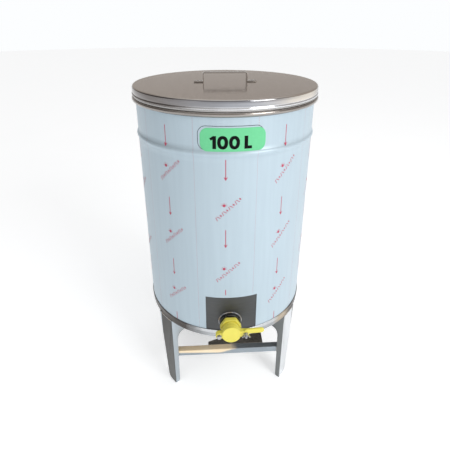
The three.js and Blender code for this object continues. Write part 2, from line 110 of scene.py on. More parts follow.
def as_object(bm, name, sharp=38):
    """A mesh object with smooth faces, creased where two faces meet sharply."""
    bmesh.ops.remove_doubles(bm, verts=bm.verts, dist=1e-7)
    bmesh.ops.recalc_face_normals(bm, faces=bm.faces)
    limit = math.radians(sharp)
    for edge in bm.edges:
        edge.smooth = len(edge.link_faces) == 2 and edge.calc_face_angle(0) < limit
    for face in bm.faces:
        face.smooth = True
    mesh = bpy.data.meshes.new(name)
    bm.to_mesh(mesh)
    bm.free()
    return link(bpy.data.objects.new(name, mesh))


def to_bmesh(obj):
    """The object's evaluated shape, with the object itself removed."""
    graph = bpy.context.evaluated_depsgraph_get()
    mesh = bpy.data.meshes.new_from_object(obj.evaluated_get(graph))
    mesh.transform(obj.matrix_world)
    bm = bmesh.new()
    bm.from_mesh(mesh)
    bpy.data.objects.remove(obj)
    bpy.data.meshes.remove(mesh)
    return bm

def curve(start, control, end, steps=10):
    """Points on a quadratic curve."""
    start, control, end = Vector(start), Vector(control), Vector(end)
    points = []
    for k in range(steps + 1):
        t = k / steps
        points.append(tuple(start * (1 - t) ** 2 + control * 2 * t * (1 - t) + end * t ** 2))
    return points


def soften(points, radius, steps=3, closed=True):
    """The outline with each corner rounded; an open line keeps its two ends."""
    result = []
    count = len(points)
    for i, corner in enumerate(points):
        corner = Vector(corner)
        if not closed and i in (0, count - 1):
            result.append(tuple(corner))
            continue
        before = Vector(points[i - 1]) - corner
        after = Vector(points[(i + 1) % count]) - corner
        reach = min(radius, before.length * 0.45, after.length * 0.45)
        start = corner + before.normalized() * reach
        end = corner + after.normalized() * reach
        result += curve(start, corner, end, steps)
    return result


def mm(points):
    """Points given in millimetres."""
    return [(x * MM, y * MM) for x, y in points]


def box_section(inner, outer, low, high):
    """The rectangular profile of a ring."""
    return [(inner, low), (outer, low), (outer, high), (inner, high)]


def arc(centre, radius, start, end, steps):
    """Points on an arc, angles in degrees."""
    turns = [math.radians(start + (end - start) * k / steps) for k in range(steps + 1)]
    return [(centre[0] + radius * math.cos(a), centre[1] + radius * math.sin(a)) for a in turns]


def bridge(bm, low, high, keep=lambda k: True):
    """Faces between two closed rows; where the rows share a point the face has three corners."""
    count = len(low)
    for k in range(count):
        n = (k + 1) % count
        corners = list(dict.fromkeys([low[k], low[n], high[n], high[k]]))
        if len(corners) > 2 and keep(k):
            bm.faces.new(corners)


def revolve(profile, steps=RING_STEPS, closed=True):
    """A profile of (radius, height) turned about +Z."""
    bm = bmesh.new()
    turns = [2 * math.pi * k / steps for k in range(steps)]
    rows = []
    for radius, height in profile:
        if radius < 1e-9:
            rows.append([bm.verts.new((0, 0, height))] * steps)
            continue
        places = [(radius * math.sin(a), -radius * math.cos(a), height) for a in turns]
        rows.append([bm.verts.new(place) for place in places])
    pairs = list(zip(rows, rows[1:]))
    if closed:
        pairs.append((rows[-1], rows[0]))
    for low, high in pairs:
        bridge(bm, low, high)
    return bm


def capsule_loop(centres, radius, steps=10):
    """A loop round circles of one radius, listed counterclockwise, joined by straight sides."""
    loop = []
    count = len(centres)
    for i, centre in enumerate(centres):
        before = centres[i - 1]
        after = centres[(i + 1) % count]
        arrive = math.atan2(centre[1] - before[1], centre[0] - before[0]) - math.pi / 2
        leave = math.atan2(after[1] - centre[1], after[0] - centre[0]) - math.pi / 2
        turn = (leave - arrive) % (2 * math.pi)
        start, end = math.degrees(arrive), math.degrees(arrive + turn)
        loop += arc(centre, radius, start, end, steps)
    return loop


def circle(centre, radius, steps=48):
    return arc(centre, radius, 0, 360 * (steps - 1) / steps, steps - 1)


def plate(loops, low, high, edge=0.4 * MM, steps=3):
    """A flat plate between two heights: the first loop is its outline, the others holes."""
    curve = bpy.data.curves.new("plate", "CURVE")
    curve.dimensions = "2D"
    curve.fill_mode = "BOTH"
    curve.extrude = (high - low) / 2 - edge
    curve.bevel_depth = edge
    curve.bevel_resolution = steps
    curve.offset = -edge
    for loop in loops:
        spline = curve.splines.new("POLY")
        spline.points.add(len(loop) - 1)
        for point, (x, y) in zip(spline.points, loop):
            point.co = (x, y, 0, 1)
        spline.use_cyclic_u = True
    obj = link(bpy.data.objects.new("plate", curve))
    obj.location.z = (low + high) / 2
    bpy.context.view_layer.update()
    bm = to_bmesh(obj)
    bmesh.ops.remove_doubles(bm, verts=bm.verts, dist=2e-6)
    return bm


def prism(loop, low, high):
    """A straight-sided block between two heights."""
    bm = bmesh.new()
    rows = [[bm.verts.new((x, y, z)) for x, y in loop] for z in (low, high)]
    for row in rows:
        bm.faces.new(row)
    bridge(bm, *rows)
    return bm


def merge(*parts):
    """Several meshes as one."""
    whole = bmesh.new()
    for part in parts:
        mesh = bpy.data.meshes.new("part")
        part.to_mesh(mesh)
        part.free()
        whole.from_mesh(mesh)
        bpy.data.meshes.remove(mesh)
    return whole


def moved(bm, matrix):
    bmesh.ops.transform(bm, matrix=matrix, verts=bm.verts)
    return bm


def modified(bm, kind, **settings):
    """The mesh after one modifier."""
    obj = as_object(bm, "work")
    modifier = obj.modifiers.new("work", kind)
    for key, value in settings.items():
        setattr(modifier, key, value)
    bpy.context.view_layer.update()
    return to_bmesh(obj)


def moulded(bm, voxel, smoothing=3):
    """Overlapping solids fused into one skin with soft inner and outer corners."""
    fused = modified(bm, "REMESH", mode="VOXEL", voxel_size=voxel, adaptivity=0)
    return modified(fused, "SMOOTH", factor=0.5, iterations=smoothing)


def cut(bm, tool):
    """The mesh with the tool's solid taken away."""
    knife = as_object(tool, "knife")
    result = modified(bm, "BOOLEAN", operation="DIFFERENCE", solver="EXACT", object=knife)
    bpy.data.objects.remove(knife)
    return result


def swept(points, radius, closed=False, ripple=0.0, pitch=1.8 * MM, seed=1, sides=4):
    """A round bead along a path. Ripple swells it in steps, as a weld does."""
    chance = random.Random(seed)
    curve = bpy.data.curves.new("bead", "CURVE")
    curve.dimensions = "3D"
    curve.bevel_depth = radius
    curve.bevel_resolution = sides
    curve.use_fill_caps = not closed
    spline = curve.splines.new("POLY")
    spline.points.add(len(points) - 1)
    travelled = 0.0
    for i, (point, place) in enumerate(zip(spline.points, points)):
        if i:
            travelled += (Vector(place) - Vector(points[i - 1])).length
        wave = (travelled / pitch) % 1.0
        point.co = (*place, 1)
        point.radius = 1 + ripple * (0.5 - wave) + ripple * 0.3 * chance.uniform(-1, 1)
    spline.use_cyclic_u = closed
    obj = link(bpy.data.objects.new("bead", curve))
    bpy.context.view_layer.update()
    return to_bmesh(obj)


def line(start, end, step=0.6 * MM):
    """Evenly spaced points from one place to another."""
    start, end = Vector(start), Vector(end)
    count = max(2, int((end - start).length / step))
    return [tuple(start.lerp(end, k / count)) for k in range(count + 1)]


def wrapped(bm, radius):
    """Bends a flat drawing round the drum: X is the way round, Y the height, Z stands out."""
    for vert in bm.verts:
        around = vert.co.x / DRUM_RADIUS
        reach = (radius(vert.co.y) if callable(radius) else radius) + vert.co.z
        vert.co = Vector((reach * math.sin(around), -reach * math.cos(around), vert.co.y))
    return bm


def sliced(bm, step=3 * MM):
    """Cuts a flat drawing into upright strips so that it can bend."""
    low = min(v.co.x for v in bm.verts)
    high = max(v.co.x for v in bm.verts)
    for k in range(1, int((high - low) / step) + 1):
        geom = bm.verts[:] + bm.edges[:] + bm.faces[:]
        bmesh.ops.bisect_plane(bm, geom=geom, plane_co=(low + k * step, 0, 0), plane_no=(1, 0, 0))
    return bm


# ---------------------------------------------------------------- materials

EVEN = (1, 1, 1)


class Paint:
    """One material: a principled shader and the nodes that feed it."""

    def __init__(self, name, **sockets):
        self.material = bpy.data.materials.new(name)
        self.material.use_nodes = True
        self.tree = self.material.node_tree
        self.tree.nodes.clear()
        self.shader = self.node("ShaderNodeBsdfPrincipled")
        output = self.node("ShaderNodeOutputMaterial")
        self.join(self.shader.outputs[0], output.inputs["Surface"])
        for key, value in sockets.items():
            socket = self.shader.inputs[key.replace("_", " ")]
            socket.default_value = (*value, 1) if isinstance(value, tuple) else value
        self.material.diffuse_color = self.shader.inputs["Base Color"].default_value

    def node(self, kind, values=(), **settings):
        made = self.tree.nodes.new(kind)
        for key, value in settings.items():
            setattr(made, key, value)
        for key, value in dict(values).items():
            if isinstance(value, bpy.types.NodeSocket):
                self.join(value, made.inputs[key])
            else:
                made.inputs[key].default_value = value
        return made

    def join(self, source, target):
        self.tree.links.new(source, target)

    def place(self):
        return self.node("ShaderNodeTexCoord").outputs["Object"]

    def calc(self, operation, *values):
        return self.node("ShaderNodeMath", dict(enumerate(values)), operation=operation).outputs[0]

    def split(self, where):
        """The X, Y and Z of a place."""
        return list(self.node("ShaderNodeSeparateXYZ", {"Vector": where}).outputs)

    def around(self):
        """Object coordinates unrolled about Z: way round, height, reach."""
        x, y, z = self.split(self.place())
        turn = self.calc("ARCTAN2", x, self.calc("MULTIPLY", y, -1.0))
        way = self.calc("MULTIPLY", turn, DRUM_RADIUS)
        squares = [self.calc("MULTIPLY", side, side) for side in (x, y)]
        reach = self.calc("SQRT", self.calc("ADD", *squares))
        return self.node("ShaderNodeCombineXYZ", {"X": way, "Y": z, "Z": reach}).outputs[0]

    def noise(self, where, stretch, scale, detail=4.0, rough=0.55):
        """Noise, finer along the axes with the larger stretch."""
        fit = self.node("ShaderNodeMapping", {"Vector": where, "Scale": stretch})
        values = {"Vector": fit.outputs[0], "Scale": scale, "Detail": detail, "Roughness": rough}
        return self.node("ShaderNodeTexNoise", values).outputs["Fac"]

    def band(self, source, low, high, out_low=0.0, out_high=1.0):
        names = ("Value", "From Min", "From Max", "To Min", "To Max")
        values = dict(zip(names, (source, low, high, out_low, out_high)))
        return self.node("ShaderNodeMapRange", values).outputs[0]

    def blend(self, amount, first, second):
        """One colour shading into another."""
        values = {"Factor": amount}
        made = self.node("ShaderNodeMix", values, data_type="RGBA")
        for socket, value in zip([s for s in made.inputs if s.type == "RGBA"], (first, second)):
            if isinstance(value, tuple):
                socket.default_value = (*value, 1)
            else:
                self.join(value, socket)
        return [s for s in made.outputs if s.type == "RGBA"][0]

    def zones(self, along, colour, *changes):
        """A colour that changes along the way: each change is where from, where to, what to."""
        for low, high, after in changes:
            colour = self.blend(self.band(along, low, high), colour, after)
        return colour

    def add(self, first, second, weight=1.0):
        return self.calc("ADD", first, self.calc("MULTIPLY", second, weight))

    def mottle(self, lines, clouds, share=0.6, spread=0.2):
        """Lines and clouds together; share is the lines' part of the whole."""
        drawn = self.band(lines, 0.5 - spread, 0.5 + spread, 0, share)
        return self.add(drawn, self.band(clouds, 0.35, 0.65, 0, 1 - share))

    def colour(self, socket):
        self.join(socket, self.shader.inputs["Base Color"])

    def rough(self, socket):
        self.join(socket, self.shader.inputs["Roughness"])

    def bump(self, height, depth, strength=1.0):
        values = {"Height": height, "Distance": depth, "Strength": strength}
        made = self.node("ShaderNodeBump", values)
        self.join(made.outputs["Normal"], self.shader.inputs["Normal"])


def sheet_paint(name, colour, rough, grain, patches=9, unrolled=False, stretch=EVEN, cloudy=0.5):
    """A steel paint with its place, its grain lines and its cloudy patches."""
    paint = Paint(name, Metallic=1.0, Base_Color=colour, Roughness=rough)
    where = paint.around() if unrolled else paint.place()
    lines = paint.noise(where, grain, 60, 3, 0.6)
    return paint, where, lines, paint.noise(where, stretch, patches, 3, cloudy)


def steel(name, light, dark, grain, unrolled=False, low_rough=0.22, high_rough=0.42, depth=0.02 * MM):
    """Rolled or brushed sheet: fine lines along the grain, cloudy patches and small scratches."""
    paint, where, lines, clouds = sheet_paint(name, light, low_rough, grain, unrolled=unrolled)
    scratches = paint.noise(where, tuple(g * 0.35 for g in grain), 25, 5, 0.7)
    paint.colour(paint.blend(paint.mottle(lines, clouds), dark, light))
    paint.rough(paint.band(paint.add(lines, scratches, 0.6), 0.5, 1.1, low_rough, high_rough))
    paint.bump(paint.add(lines, scratches, 0.5), depth, 0.6)
    return paint.material


def drum_look():
    """Dark grey sheet where the film is cut away, painted as shade; lighter inside, and lighter and
    warmer on the curled rim.
    """
    paint, where, lines, clouds = sheet_paint(
        "drum_steel", (0.13, 0.133, 0.135), 0.4, (0.4, 14, 1), unrolled=True,
    )
    _, height, reach = paint.split(where)
    curl = paint.band(height, FILM_TOP, FILM_TOP + 1 * MM)
    inside = paint.band(reach, DRUM_RADIUS - 0.2 * MM, DRUM_RADIUS - 0.6 * MM)
    mixed = paint.mottle(lines, clouds)
    # The bare outer wall is painted dark as painted shade; the inside keeps the sheet's own lighter
    # tone.
    sheet = paint.blend(mixed, (0.085, 0.088, 0.09), (0.12, 0.123, 0.125))
    inside_tone = paint.blend(mixed, (0.40, 0.41, 0.42), (0.52, 0.53, 0.54))
    rim = paint.blend(mixed, (0.27, 0.25, 0.235), (0.42, 0.39, 0.365))
    paint.colour(paint.blend(curl, paint.blend(inside, sheet, inside_tone), rim))
    paint.rough(paint.band(curl, 0, 1, 0.52, 0.22))
    paint.bump(lines, 0.01 * MM, 0.5)
    return paint.material


def lid_look():
    """Brushed sheet, its grain from front to back; the pressed skirt is painted with reflections, and
    with a painted highlight along its hem bead.
    """
    paint = Paint("lid_steel", Metallic=1.0, Base_Color=(0.6, 0.55, 0.51), Roughness=0.12)
    where, round_lid = paint.place(), paint.around()
    broad = paint.noise(where, (6, 0.3, 1), 55, 3, 0.6)
    fine = paint.noise(where, (26, 0.5, 1), 60, 3, 0.6)
    clouds = paint.noise(where, EVEN, 7, 2, 0.5)
    mixed = paint.add(paint.band(broad, 0.3, 0.7, 0, 0.6), paint.band(fine, 0.3, 0.7, 0, 0.25))
    mixed = paint.add(mixed, paint.band(clouds, 0.3, 0.7, 0, 0.15))
    top = paint.blend(mixed, (0.54, 0.495, 0.455), (0.68, 0.63, 0.585))
    way, height, _ = paint.split(round_lid)
    way = paint.add(way, paint.band(paint.noise(round_lid, EVEN, 11, 2, 0.5), 0, 1, -0.05, 0.05))
    # Painted reflections on the skirt: brown painted shade on the left and round the back, cool grey
    # in front, light straw on the right.
    brown, cool, straw = (0.17, 0.152, 0.145), (0.27, 0.28, 0.31), (0.80, 0.73, 0.64)
    shade = paint.zones(way, brown, (-0.16, -0.02, cool), (0.04, 0.19, straw), (0.23, 0.29, brown))
    # Painted highlight on the hem bead: white from the front left round to the right, dim elsewhere.
    dim, highlight_white = (0.22, 0.20, 0.19), (0.88, 0.90, 0.93)
    bright = paint.zones(way, dim, (-0.13, -0.03, highlight_white), (0.30, 0.45, dim))
    bead = paint.band(height, LID_BOTTOM + 7.5 * MM, LID_BOTTOM + 5.5 * MM)
    lines = paint.band(paint.noise(round_lid, (0.3, 14, 1), 60, 3, 0.6), 0.3, 0.7, 0, 0.35)
    skirt = paint.blend(lines, paint.blend(bead, shade, bright), (0.45, 0.44, 0.44))
    edge = paint.band(height, LID_TOP - 0.6 * MM, LID_TOP - 2.2 * MM)
    paint.colour(paint.blend(edge, top, skirt))
    paint.rough(paint.band(fine, 0.3, 0.7, 0.10, 0.17))
    paint.bump(fine, 0.002 * MM, 0.5)
    return paint.material


def leg_look(name, light, dark, flange):
    """Sheet with its grain along the leg; past the fold the flange is painted another brightness than
    the web, as painted light and shade.
    """
    paint, where, lines, clouds = sheet_paint(
        name, light, 0.35, (14, 14, 0.5), 22, stretch=(1, 1, 0.5),
    )
    out = paint.calc("ABSOLUTE", paint.split(where)[0])
    fold = paint.band(out, LEG_FOLD - 0.9 * MM, LEG_FOLD - 0.1 * MM)
    web = paint.blend(paint.mottle(lines, clouds, 0.5), dark, light)
    # Web and flange colours are painted light and shade, set for each leg.
    paint.colour(paint.blend(fold, web, flange))
    paint.rough(paint.band(paint.add(lines, clouds, 0.6), 0.5, 1.1, 0.28, 0.46))
    paint.bump(lines, 0.02 * MM, 0.6)
    return paint.material


def band_look(name, low, high):
    """A welded band painted with light: painted shade on the left, a painted highlight in front, a
    painted straw reflection by the right leg.
    """
    paint, where, lines, clouds = sheet_paint(
        name, high, 0.3, (0.35, 16, 1), 14, unrolled=True, cloudy=0.55,
    )
    way = paint.add(paint.split(where)[0], paint.band(clouds, 0, 1, -0.03, 0.03))
    mixed = paint.mottle(lines, clouds, 0.7, 0.15)
    dull = paint.blend(mixed, (0.045, 0.04, 0.037), (0.12, 0.11, 0.102))
    bright = paint.blend(mixed, low, high)
    straw = paint.blend(mixed, (0.24, 0.19, 0.13), (0.66, 0.56, 0.44))
    # Painted light round the band: painted shade on the left, a painted highlight in front, a painted
    # straw reflection near the front right leg, then painted shade again round the back.
    changes = ((-0.13, -0.08, bright), (0.125, 0.15, straw), (0.175, 0.20, dull))
    paint.colour(paint.zones(way, dull, *changes))
    paint.rough(paint.band(lines, 0.35, 0.65, 0.2, 0.36))
    paint.bump(lines, 0.02 * MM, 0.6)
    return paint.material


def bar_look(name, reflection_strength):
    """Drawn tube; a painted tan reflection, less metallic, lies on the upper part of one half."""
    paint, where, lines, clouds = sheet_paint(name, (0.4, 0.4, 0.4), 0.35, (0.5, 14, 14), 18)
    x, _, z = paint.split(where)
    along = paint.add(x, paint.band(clouds, 0, 1, -0.03, 0.03))
    along = paint.add(along, paint.band(z, BAR_TOP - BAR_SIDE, BAR_TOP, 0.05, -0.02))
    lower = paint.add(z, paint.band(x, -0.16, 0.0, -0.004, 0.004))
    upper = paint.band(lower, BAR_TOP - 13 * MM, BAR_TOP - 9 * MM)
    # Painted tan reflection on the upper part of the left half; less metallic there.
    tan_reflection = paint.calc("MULTIPLY", paint.band(along, 0.012, -0.012, 0, reflection_strength), upper)
    mixed = paint.mottle(lines, clouds)
    cool = paint.blend(mixed, (0.27, 0.315, 0.355), (0.38, 0.435, 0.48))
    # Colour of the painted tan reflection.
    warm = paint.blend(mixed, (0.95, 0.76, 0.50), (1.0, 0.88, 0.66))
    paint.colour(paint.blend(tan_reflection, cool, warm))
    paint.join(paint.band(tan_reflection, 0, 1, 0.7, 0.1), paint.shader.inputs["Metallic"])
    paint.rough(paint.band(lines, 0.3, 0.7, 0.28, 0.42))
    paint.bump(lines, 0.02 * MM, 0.6)
    return paint.material


def film_material():
    """Semi-clear pale blue film on steel: soft sheen, upright creases and trapped air."""
    paint = Paint("film", Metallic=0.25, Roughness=0.45, Base_Color=(0.46, 0.565, 0.64))
    paint.shader.inputs["Coat Weight"].default_value = 0.15
    paint.shader.inputs["Coat Roughness"].default_value = 0.3
    where = paint.around()
    creases = paint.noise(where, (9, 0.5, 1), 12, 3, 0.5)
    clouds = paint.noise(where, (1, 0.6, 1), 7, 2, 0.5)
    grain = paint.noise(where, (40, 3, 1), 30, 2, 0.5)
    mixed = paint.add(paint.band(creases, 0.35, 0.65, 0, 0.5), paint.band(clouds, 0.3, 0.7, 0, 0.5))
    paint.colour(paint.blend(mixed, (0.44, 0.545, 0.62), (0.475, 0.585, 0.66)))
    paint.rough(paint.band(paint.add(clouds, grain, 0.4), 0.4, 1.0, 0.38, 0.5))
    paint.bump(paint.add(creases, grain, 0.15), 0.16 * MM, 0.3)
    return paint.material


def plastic_material(name, light, dark, roughness, depth=0.03 * MM):
    """Moulded plastic: faint flow marks and a fine grain."""
    paint = Paint(name, Roughness=roughness, Base_Color=light)
    paint.shader.inputs["Subsurface Weight"].default_value = 0.08
    paint.shader.inputs["Subsurface Radius"].default_value = (0.004, 0.003, 0.001)
    where = paint.place()
    flow = paint.noise(where, EVEN, 40, 3, 0.5)
    grain = paint.noise(where, EVEN, 1400, 2, 0.5)
    paint.colour(paint.blend(paint.band(flow, 0.3, 0.7), dark, light))
    paint.rough(paint.band(flow, 0.3, 0.7, roughness - 0.06, roughness + 0.08))
    paint.bump(paint.add(flow, grain, 0.5), depth, 0.4)
    return paint.material


def plain_material(name, light, dark, roughness, scale=200, **sockets):
    """Ink, paper, rubber or floor: one colour with a little unevenness."""
    paint = Paint(name, Roughness=roughness, Base_Color=light, **sockets)
    speckle = paint.noise(paint.place(), EVEN, scale, 3, 0.6)
    paint.colour(paint.blend(paint.band(speckle, 0.3, 0.7), dark, light))
    paint.rough(paint.band(speckle, 0.3, 0.7, roughness - 0.05, roughness + 0.05))
    paint.bump(speckle, 0.02 * MM, 0.3)
    return paint.material


def weld_material():
    """Bright ripples with straw and blue heat tints at the edges."""
    paint = Paint("weld", Metallic=1.0, Roughness=0.3, Base_Color=(0.45, 0.44, 0.43))
    where = paint.place()
    tint = paint.noise(where, EVEN, 90, 3, 0.6)
    straw, plain, blue = (0.42, 0.33, 0.22), (0.52, 0.51, 0.50), (0.25, 0.29, 0.36)
    paint.colour(paint.zones(tint, straw, (0.35, 0.5, plain), (0.52, 0.68, blue)))
    paint.bump(paint.noise(where, EVEN, 900, 2, 0.5), 0.06 * MM, 0.5)
    return paint.material


drum_steel = drum_look()
socket_steel = steel("socket_steel", (0.13, 0.133, 0.135), (0.10, 0.103, 0.105), (3, 3, 3))
lid_steel = lid_look()
handle_steel = steel(
    "handle_steel", (0.40, 0.365, 0.335), (0.30, 0.275, 0.25), (0.5, 6, 6),
    low_rough=0.16, high_rough=0.26, depth=0.003 * MM,
)
rim_steel = steel("rim_steel", (0.46, 0.45, 0.44), (0.34, 0.33, 0.32), (0.4, 14, 1), unrolled=True)
stand_steel = steel("stand_steel", (0.66, 0.64, 0.59), (0.50, 0.48, 0.44), (14, 14, 0.5))
# Painted light and shade for each leg, as web light, web dark and flange: the front left web is
# painted in shade under a lighter flange, the front right web is painted bright over a shaded flange,
# and the rear legs take middling painted shades. All four are one steel.
LEG_SHADES = {
    "front_left": ("dull", (0.095, 0.093, 0.088), (0.062, 0.061, 0.058), (0.46, 0.51, 0.55)),
    "front_right": ("bright", (0.80, 0.82, 0.84), (0.68, 0.70, 0.72), (0.19, 0.20, 0.20)),
    "rear_right": ("rear_right", (0.42, 0.42, 0.42), (0.30, 0.30, 0.30), (0.34, 0.35, 0.36)),
    "rear_left": ("rear_left", (0.34, 0.34, 0.34), (0.24, 0.24, 0.24), (0.40, 0.42, 0.43)),
}
leg_steel = {
    place: leg_look(f"leg_steel_{ending}", *shades)
    for place, (ending, *shades) in LEG_SHADES.items()
}
# The front bar carries the painted tan reflection; the rear bar has none.
bar_steel = {"front": bar_look("bar_steel_painted_reflection", 1), "rear": bar_look("bar_steel_bare", 0)}
hoop_steel = band_look("hoop_steel", (0.28, 0.29, 0.30), (0.58, 0.60, 0.62))
seam_steel = band_look("seam_steel", (0.40, 0.41, 0.42), (0.80, 0.82, 0.84))
bolt_steel = steel("bolt_steel", (0.52, 0.52, 0.53), (0.38, 0.38, 0.39), (3, 3, 3))
weld_steel = weld_material()
film_skin = film_material()
yellow = plastic_material("gate_yellow", (0.82, 0.745, 0.12), (0.76, 0.685, 0.095), 0.42)
label_green = plain_material("label_green", (0.145, 0.615, 0.295), (0.13, 0.58, 0.275), 0.5)
label_ink = plain_material(
    "label_ink", (0.004, 0.004, 0.005), (0.002, 0.002, 0.003), 0.6, Specular_IOR_Level=0.1,
)
print_ink = plain_material("print_ink", (0.50, 0.065, 0.12), (0.44, 0.05, 0.10), 0.6)
seal_black = plain_material("seal_black", (0.02, 0.02, 0.02), (0.012, 0.012, 0.012), 0.75)


def piece(bm, name, material, body=BODY, replaces=(), sharp=38, at=None):
    """Names a finished mesh, dresses it, places it and hangs it on its body."""
    obj = as_object(bm, name, sharp)
    obj.data.materials.append(material)
    obj.matrix_world = Matrix.Translation(AXIS) if at is None else at
    bpy.context.view_layer.update()
    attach(obj, body)
    if replaces:
        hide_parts(*replaces)
    return obj


# ---------------------------------------------------------------- drum

def swell(height):
    """How far the swage stands out of the wall at a height."""
    away = abs(height - SWAGE_HEIGHT) / SWAGE_HALF
    return SWAGE_PROUD * math.cos(away * math.pi / 2) ** 0.8 if away < 1 else 0.0


def wall(radius, bottom, top, upwards=True):
    """The wall's line with its swage."""
    steps = 16
    bead = [SWAGE_HEIGHT + SWAGE_HALF * (2 * k / steps - 1) for k in range(steps + 1)]
    points = [(radius + swell(z), z) for z in [bottom, *bead, top]]
    return points if upwards else points[::-1]


def make_shell():
    outside = wall(DRUM_RADIUS, SHELL_BOTTOM, CURL_HEIGHT)[:-1]
    inside = wall(DRUM_INSIDE, SHELL_BOTTOM, CURL_HEIGHT, upwards=False)[1:]
    centre = (CURL_CENTRE, CURL_HEIGHT)
    curl_in = arc(centre, CURL_RADIUS - SHEET, 180, -95, 22)
    curl_out = arc(centre, CURL_RADIUS, -95, 180, 22)
    shell = revolve([*inside, *outside, *curl_in, *curl_out])
    hole = revolve(box_section(0, 29.3 * MM, 200 * MM, 250 * MM), 96, closed=False)
    moved(hole, Matrix.Translation(OUTLET) @ ON_END)
    piece(cut(shell, hole), "drum_shell_sheet", drum_steel, replaces=["drum_shell"])
    wire = revolve(arc(centre, CURL_RADIUS - SHEET - GAP, 0, 345, 23), 96)
    piece(wire, "rim_wire_round", rim_steel, replaces=["rim_wire"])


def make_bottom():
    fold = DRUM_INSIDE - GAP
    under = [(0, SEAM_BOTTOM + 3.7 * MM), (fold - SHEET, SEAM_BOTTOM + 6.7 * MM)]
    channel = [
        (fold - SHEET, SEAM_BOTTOM), (SEAM_RADIUS, SEAM_BOTTOM), (SEAM_RADIUS, SEAM_TOP),
        (DRUM_RADIUS + GAP, SEAM_TOP), (DRUM_RADIUS + GAP, SEAM_BOTTOM + SHEET),
        (fold, SEAM_BOTTOM + SHEET), (fold, SEAM_BOTTOM + 7.7 * MM),
    ]
    over = [(0, SEAM_BOTTOM + 4.7 * MM)]
    profile = soften([*under, *channel, *over], 0.7 * MM, 4, closed=False)
    dish = revolve(profile, closed=False)
    piece(dish, "drum_bottom_dish", seam_steel, replaces=["drum_bottom"])


def make_film():
    """The film's sheet, with the cut-away window's edges lifted and a little wavy."""
    chance = random.Random(7)
    wrap_steps, window_steps = 300, 40
    left, right = PATCH_LEFT / DRUM_RADIUS, PATCH_RIGHT / DRUM_RADIUS
    turns = [right + (2 * math.pi + left - right) * k / wrap_steps for k in range(wrap_steps)]
    turns += [left + (right - left) * k / window_steps for k in range(window_steps)]
    near = [PATCH_TOP + d * MM for d in (0, 1, 2.5, 5, 9, 15)]
    below = [FILM_BOTTOM + (PATCH_TOP - FILM_BOTTOM) * k / 24 for k in range(24)]
    bead = [SWAGE_HEIGHT + SWAGE_HALF * (k / 8 - 1) for k in range(17)]
    above = [near[-1] + (bead[0] - near[-1]) * k / 24 for k in range(1, 24)]
    top = [bead[-1] + (FILM_TOP - bead[-1]) * k / 6 for k in range(1, 7)]
    heights = below + near + above + bead + top
    waves = [(chance.uniform(60, 160), chance.uniform(0, 6.28)) for _ in range(4)]
    bm = bmesh.new()
    grid = []
    for z in heights:
        row = []
        for turn in turns:
            signed = (turn + math.pi) % (2 * math.pi) - math.pi
            beside = max(0.0, left - signed, signed - right) * DRUM_RADIUS
            over = max(0.0, z - PATCH_TOP)
            away = math.hypot(beside, over)
            ripple = sum(math.sin(f * (z + abs(signed) * DRUM_RADIUS) + p) for f, p in waves) / 4
            lift = (0.7 + 0.35 * ripple) * MM * math.exp(-away / (4 * MM))
            reach = DRUM_RADIUS + 0.12 * MM + swell(z) + lift
            row.append(bm.verts.new((reach * math.sin(turn), -reach * math.cos(turn), z)))
        grid.append(row)
    for low, high, z in zip(grid, grid[1:], heights):
        whole = z >= PATCH_TOP - 1e-6
        bridge(bm, low, high, lambda k: whole or k < wrap_steps)
    loose = [v for v in bm.verts if not v.link_faces]
    bmesh.ops.delete(bm, geom=loose, context="VERTS")
    thick = modified(bm, "SOLIDIFY", thickness=0.14 * MM, offset=1.0)
    piece(thick, "film_sheet", film_skin, replaces=["protective_film"], sharp=50)


def stroke(bm, start, end, width):
    """A thin printed line between two points of the unrolled film."""
    start, end = Vector(start), Vector(end)
    side = (end - start).normalized().orthogonal() * width / 2
    corners = [start - side, end - side, end + side, start + side]
    bm.faces.new([bm.verts.new((c.x, c.y, 0)) for c in corners])


ARROW_LENGTH = 50 * MM
ARROW_LINE = 1.9 * MM
MARK_PITCH = 6.9 * MM
MARK_LINE = 1.6 * MM
PRINT_PERIOD = 177 * MM
PRINT_COLUMNS = 10
COLUMN_TURN = math.radians(36)


def print_arrow(bm, x, top, floor):
    """An arrow that points down; where the film ends it is cut off."""
    tip = top - ARROW_LENGTH
    stroke(bm, (x, top), (x, max(tip + 6 * MM, floor)), ARROW_LINE)
    if tip > floor:
        head = mm([(0, 0), (5.0, 9.5), (0, 6.6), (-5.0, 9.5)])
        bm.faces.new([bm.verts.new((x + a, tip + b, 0)) for a, b in head])


def print_motif(bm, x, z):
    """A slanting row of plain marks with a small sunburst over it."""
    along = Vector((math.cos(math.radians(44)), math.sin(math.radians(44))))
    across = Vector((-along.y, along.x))
    marks = 12
    for k in range(marks):
        centre = Vector((x, z)) + along * (k - (marks - 1) / 2) * MARK_PITCH
        lean = (0.35, -0.35, 0.0)[k % 3]
        tall = (5.0, 5.0, 3.6)[k % 3] * MM
        reach = (across + along * lean).normalized() * tall
        stroke(bm, centre - reach, centre + reach, MARK_LINE)
        if k % 3 == 2:
            stroke(bm, centre - along * 2.4 * MM, centre + along * 2.4 * MM, MARK_LINE)
    dot = Vector((x, z)) + across * 14 * MM
    bm.faces.new([bm.verts.new((a, b, 0)) for a, b in circle(dot, 3.8 * MM, 16)])
    for k in range(5):
        ray = Vector((math.cos(k * math.pi / 4), math.sin(k * math.pi / 4)))
        stroke(bm, dot + ray * 5.2 * MM, dot + ray * 7.4 * MM, 1.2 * MM)


